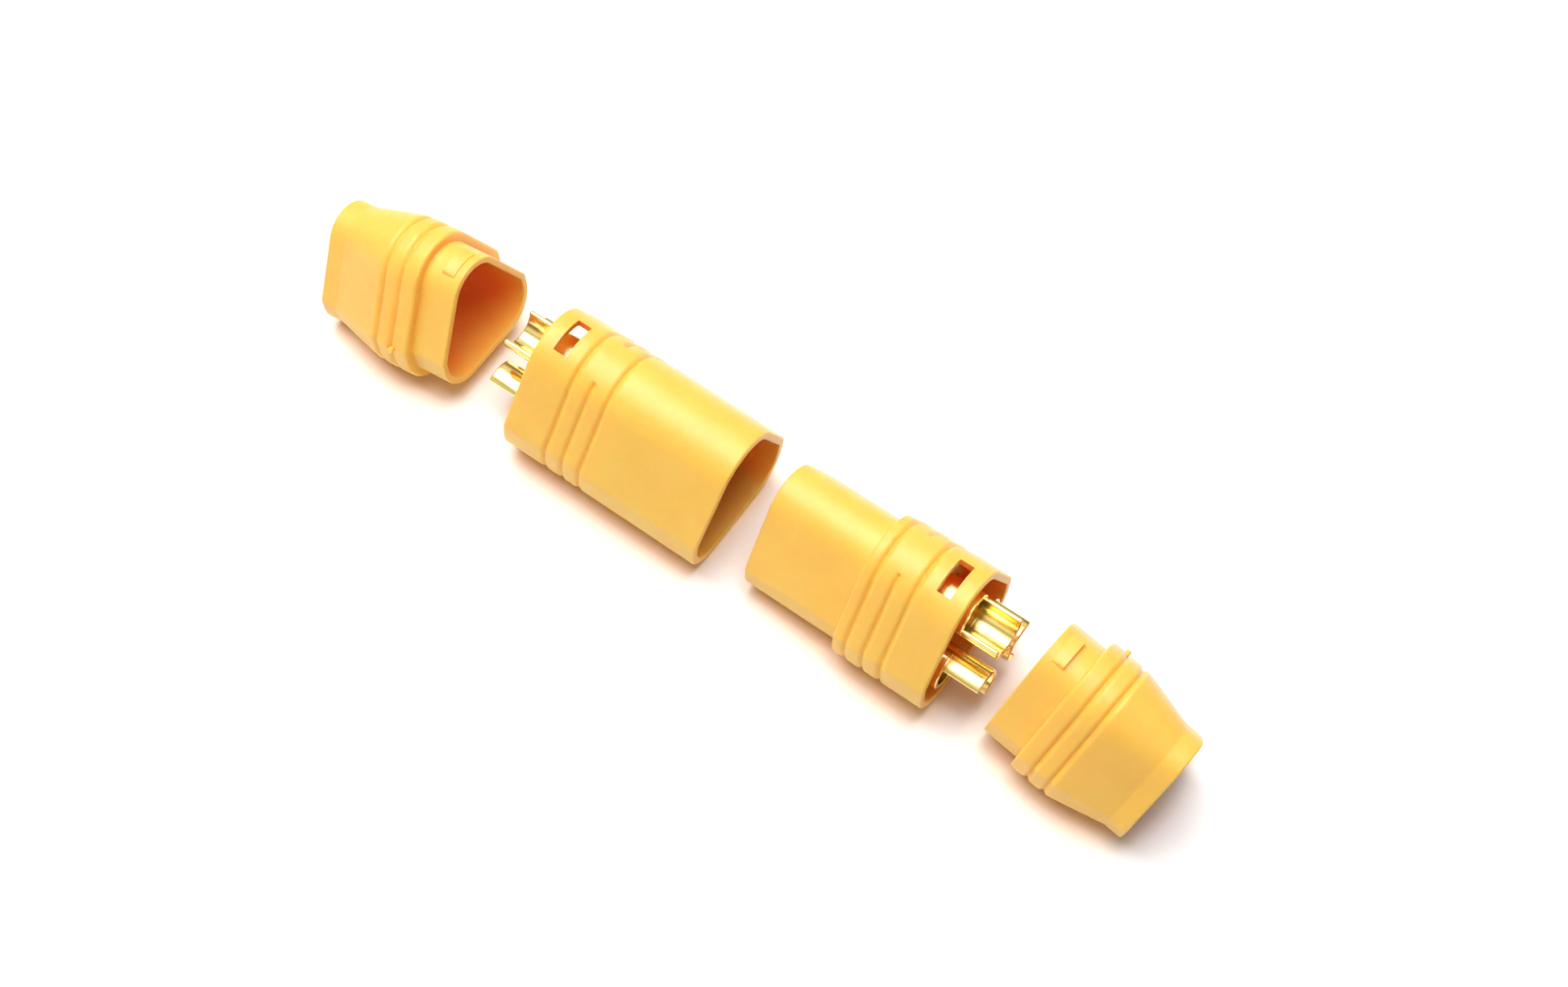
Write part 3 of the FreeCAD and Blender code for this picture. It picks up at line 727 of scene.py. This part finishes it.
def rear_profile():
    """The closed length of the cup and the barbed barrel."""
    barb = BARREL_RADIUS + BARB_RISE
    corners = [
        (CUP_FLOOR, 0.0, 0.0, ""),
        (CUP_FLOOR, CUP_RADIUS, 0.0, ""),
        (-CUP_COLLAR, CUP_RADIUS, 0.05, ""),
        (-CUP_COLLAR, BARREL_RADIUS, 0.08, ""),
    ]
    for back in BARBS:
        corners += [
            (back, BARREL_RADIUS, 0.0, ""),
            (back, barb, 0.0, ""),
            (back + BARB_LENGTH, BARREL_RADIUS, 0.0, ""),
        ]
    return corners + [(BARREL_SEAT, BARREL_RADIUS, 0.05, "")]


def contact(name, front, cuts=()):
    """A whole contact: the turned part, cut where it is slotted, with the trough joined to it."""
    item = lathe(name, soft_path(rear_profile() + front, steps=3))
    combined(item, cuts, "DIFFERENCE")
    other = trough()
    joined = bmesh.new()
    joined.from_mesh(item.data)
    joined.from_mesh(other.data)
    joined.to_mesh(item.data)
    joined.free()
    bpy.data.objects.remove(other)
    return item


PIN_FRONT = [
    (BARREL_SEAT, PIN_RADIUS, 0.0, ""),
    (PIN_TIP - 0.9, PIN_RADIUS, 0.3, ""),
    (PIN_TIP - 0.27, 1.55, 0.2, ""),
    (PIN_TIP, 1.1, 0.1, ""),
    (PIN_TIP, 0.0, 0.0, ""),
]
SOCKET_FRONT = [
    (BARREL_SEAT, TUBE_RADIUS, 0.0, ""),
    (SOCKET_MOUTH, TUBE_RADIUS, 0.08, ""),
    (SOCKET_MOUTH, SOCKET_RADIUS, 0.12, ""),
    (SOCKET_FLOOR, SOCKET_RADIUS, 0.0, ""),
    (SOCKET_FLOOR, 0.0, 0.0, ""),
]

slot_run = (PIN_TIP - SLOT_LENGTH, PIN_TIP + PAST)
slot_width = (-SLOT_HALF, SLOT_HALF)
right_across = (-3.0, 3.0)
for side, inside in CONTACTS.items():
    slots = [bar(slot_run, slot_width, right_across), bar(slot_run, right_across, slot_width)]
    pin = contact("pin_contact_%s_turned" % side, PIN_FRONT, slots)
    place(pin, PLACES["pin_half"] @ inside, "contact", "pin_contact_" + side)
    socket = contact("socket_contact_%s_turned" % side, SOCKET_FRONT)
    place(socket, PLACES["socket_half"] @ inside, "contact", "socket_contact_" + side)
print("contacts of %d and %d faces" % (len(pin.data.polygons), len(socket.data.polygons)))

# %% [markdown]
# ## Table and light
#
# The table is a plain white sheet. The key is a broad soft panel overhead and a little to the left,
# so the shadows are narrow and deepest on the right. A small lamp over the middle reaches into the
# caps' mouths. A long, weak strip on the far side draws the pale streak along each apex.
#
# Straight on and in reflections, the sheet and the backdrop are white. Light Path does that in
# their materials, with no more light, so the mouldings keep their colour. Close to a moulding the
# sheet has a painted warm shade, darker and warmer than the rest, standing in for the shadow there
# and for light that comes through the plastic, and an Ambient Occlusion node finds those places.
# Bare gold shows only what it mirrors, so the room has a few broad bands that nothing but a
# reflection sees.

# %% Table, lights and world
def table():
    """A white sheet, brighter where it is seen or mirrored, and plain white towards its edges."""
    mesh = bmesh.new()
    bmesh.ops.create_grid(mesh, x_segments=1, y_segments=1, size=1000.0)
    item = finished("table", mesh)
    item.data.transform(Matrix.Scale(MM, 4))
    material, nodes, links, shader = new_material("white_sheet")
    shader.inputs["Base Color"].default_value = (0.90, 0.90, 0.90, 1.0)
    shader.inputs["Roughness"].default_value = 0.9
    shader.inputs["Specular IOR Level"].default_value = 0.1
    # Painted shade: an AO mask makes the sheet darker and warmer beside the mouldings, for their
    # shadow and the light through the plastic.
    beside = openness(nodes, links, 0.007, (0.35, 0.88))
    painted_warm_shade = tint_mix(nodes, links, beside, (1.12, 0.85, 0.70))
    painted_warm_shade.inputs["B"].default_value = (1.12, 1.12, 1.12, 1.0)
    seen = nodes.new("ShaderNodeBsdfDiffuse")
    links.new(painted_warm_shade.outputs["Result"], seen.inputs["Color"])
    reach = nodes.new("ShaderNodeVectorMath")
    reach.operation = "LENGTH"
    links.new(nodes.new("ShaderNodeTexCoord").outputs["Object"], reach.inputs[0])
    edge = remapped(nodes, links, reach.outputs["Value"], (0.09, 0.22))
    white = nodes.new("ShaderNodeEmission")
    sheet = shader_mix(nodes, links, edge, seen.outputs["BSDF"], white.outputs["Emission"])
    ray = nodes.new("ShaderNodeLightPath")
    either = nodes.new("ShaderNodeMath")
    either.operation = "MAXIMUM"
    links.new(ray.outputs["Is Camera Ray"], either.inputs[0])
    links.new(ray.outputs["Is Glossy Ray"], either.inputs[1])
    surface = shader_mix(nodes, links, either.outputs["Value"], shader.outputs["BSDF"], sheet)
    links.new(surface, nodes["Material Output"].inputs["Surface"])
    item.data.materials.append(material)


def lamp(name, stand, size, power):
    """A rectangular panel that faces the middle of the table."""
    data = bpy.data.lights.new(name, "AREA")
    data.shape = "RECTANGLE"
    data.size, data.size_y = size
    data.energy = power
    item = bpy.data.objects.new(name, data)
    item.location = stand
    item.rotation_euler = Vector(stand).to_track_quat("Z", "Y").to_euler()
    bpy.context.scene.collection.objects.link(item)


table()
lamp("key", (-0.13, 0.02, 0.42), (0.36, 0.36), 2.56)
lamp("middle", (0.04, -0.01, 0.28), (0.06, 0.06), 0.14)
lamp("far_side", (-0.10, 0.42, 0.62), (0.5, 0.08), 0.36)

world = bpy.data.worlds.new("room")
world.use_nodes = True
room = world.node_tree
plain = room.nodes["Background"]
plain.inputs["Color"].default_value = (1.0, 1.0, 1.0, 1.0)
plain.inputs["Strength"].default_value = 0.20
mirrored = room.nodes.new("ShaderNodeBackground")
split = room.nodes.new("ShaderNodeSeparateXYZ")
room.links.new(room.nodes.new("ShaderNodeTexCoord").outputs["Generated"], split.inputs["Vector"])
bands = ramp(room.nodes, room.links, split.outputs["Z"], [
    (0.00, (0.10, 0.06, 0.03)),
    (0.26, (0.30, 0.23, 0.13)),
    (0.48, (0.90, 0.88, 0.80)),
    (0.66, (0.80, 0.77, 0.66)),
    (0.75, (0.32, 0.28, 0.19)),
    (0.86, (0.85, 0.84, 0.78)),
    (1.00, (0.62, 0.60, 0.52)),
])
room.links.new(bands, mirrored.inputs["Color"])
mirrored.inputs["Strength"].default_value = 1.1
backdrop = room.nodes.new("ShaderNodeBackground")
backdrop.inputs["Color"].default_value = (1.0, 1.0, 1.0, 1.0)
ray = room.nodes.new("ShaderNodeLightPath")
shown = plain.outputs["Background"]
for kind, background in (("Is Glossy Ray", mirrored), ("Is Camera Ray", backdrop)):
    seen_by = background.outputs["Background"]
    shown = shader_mix(room.nodes, room.links, ray.outputs[kind], shown, seen_by)
room.links.new(shown, room.nodes["World Output"].inputs["Surface"])
bpy.context.scene.world = world
bpy.context.scene.view_settings.view_transform = "Standard"
print("lamps:", ", ".join(light.name for light in bpy.data.lights))

# %% [markdown]
# ## Camera
#
# The photograph looks down on the row from a little to the right. These angles came from matching
# landmarks of the object with the photograph.

# %% Camera
TARGET = Vector((10.240, 3.488, 5.0))
AZIMUTH = math.radians(22.566)
ELEVATION = math.radians(61.351)
ROLL = math.radians(12.958)
DISTANCE = 205.835
FOCAL_PIXELS = 2542.04
PHOTO_WIDTH = 1946.0
SENSOR_WIDTH = 36.0

away = Vector((
    math.sin(AZIMUTH) * math.cos(ELEVATION),
    -math.cos(AZIMUTH) * math.cos(ELEVATION),
    math.sin(ELEVATION)))
level = (-away).cross(Vector((0.0, 0.0, 1.0))).normalized()
upright = level.cross(-away)
right = level * math.cos(ROLL) + upright * math.sin(ROLL)
top = upright * math.cos(ROLL) - level * math.sin(ROLL)
camera_data = bpy.data.cameras.new("camera")
camera_data.sensor_width = SENSOR_WIDTH
camera_data.lens = FOCAL_PIXELS * SENSOR_WIDTH / PHOTO_WIDTH
camera = bpy.data.objects.new("camera", camera_data)
turn = Matrix((right, top, away)).transposed().to_4x4()
camera.matrix_world = Matrix.Translation((TARGET + away * DISTANCE) * MM) @ turn
bpy.context.scene.collection.objects.link(camera)
bpy.context.scene.camera = camera
print("lens of %.1f mm" % camera_data.lens)
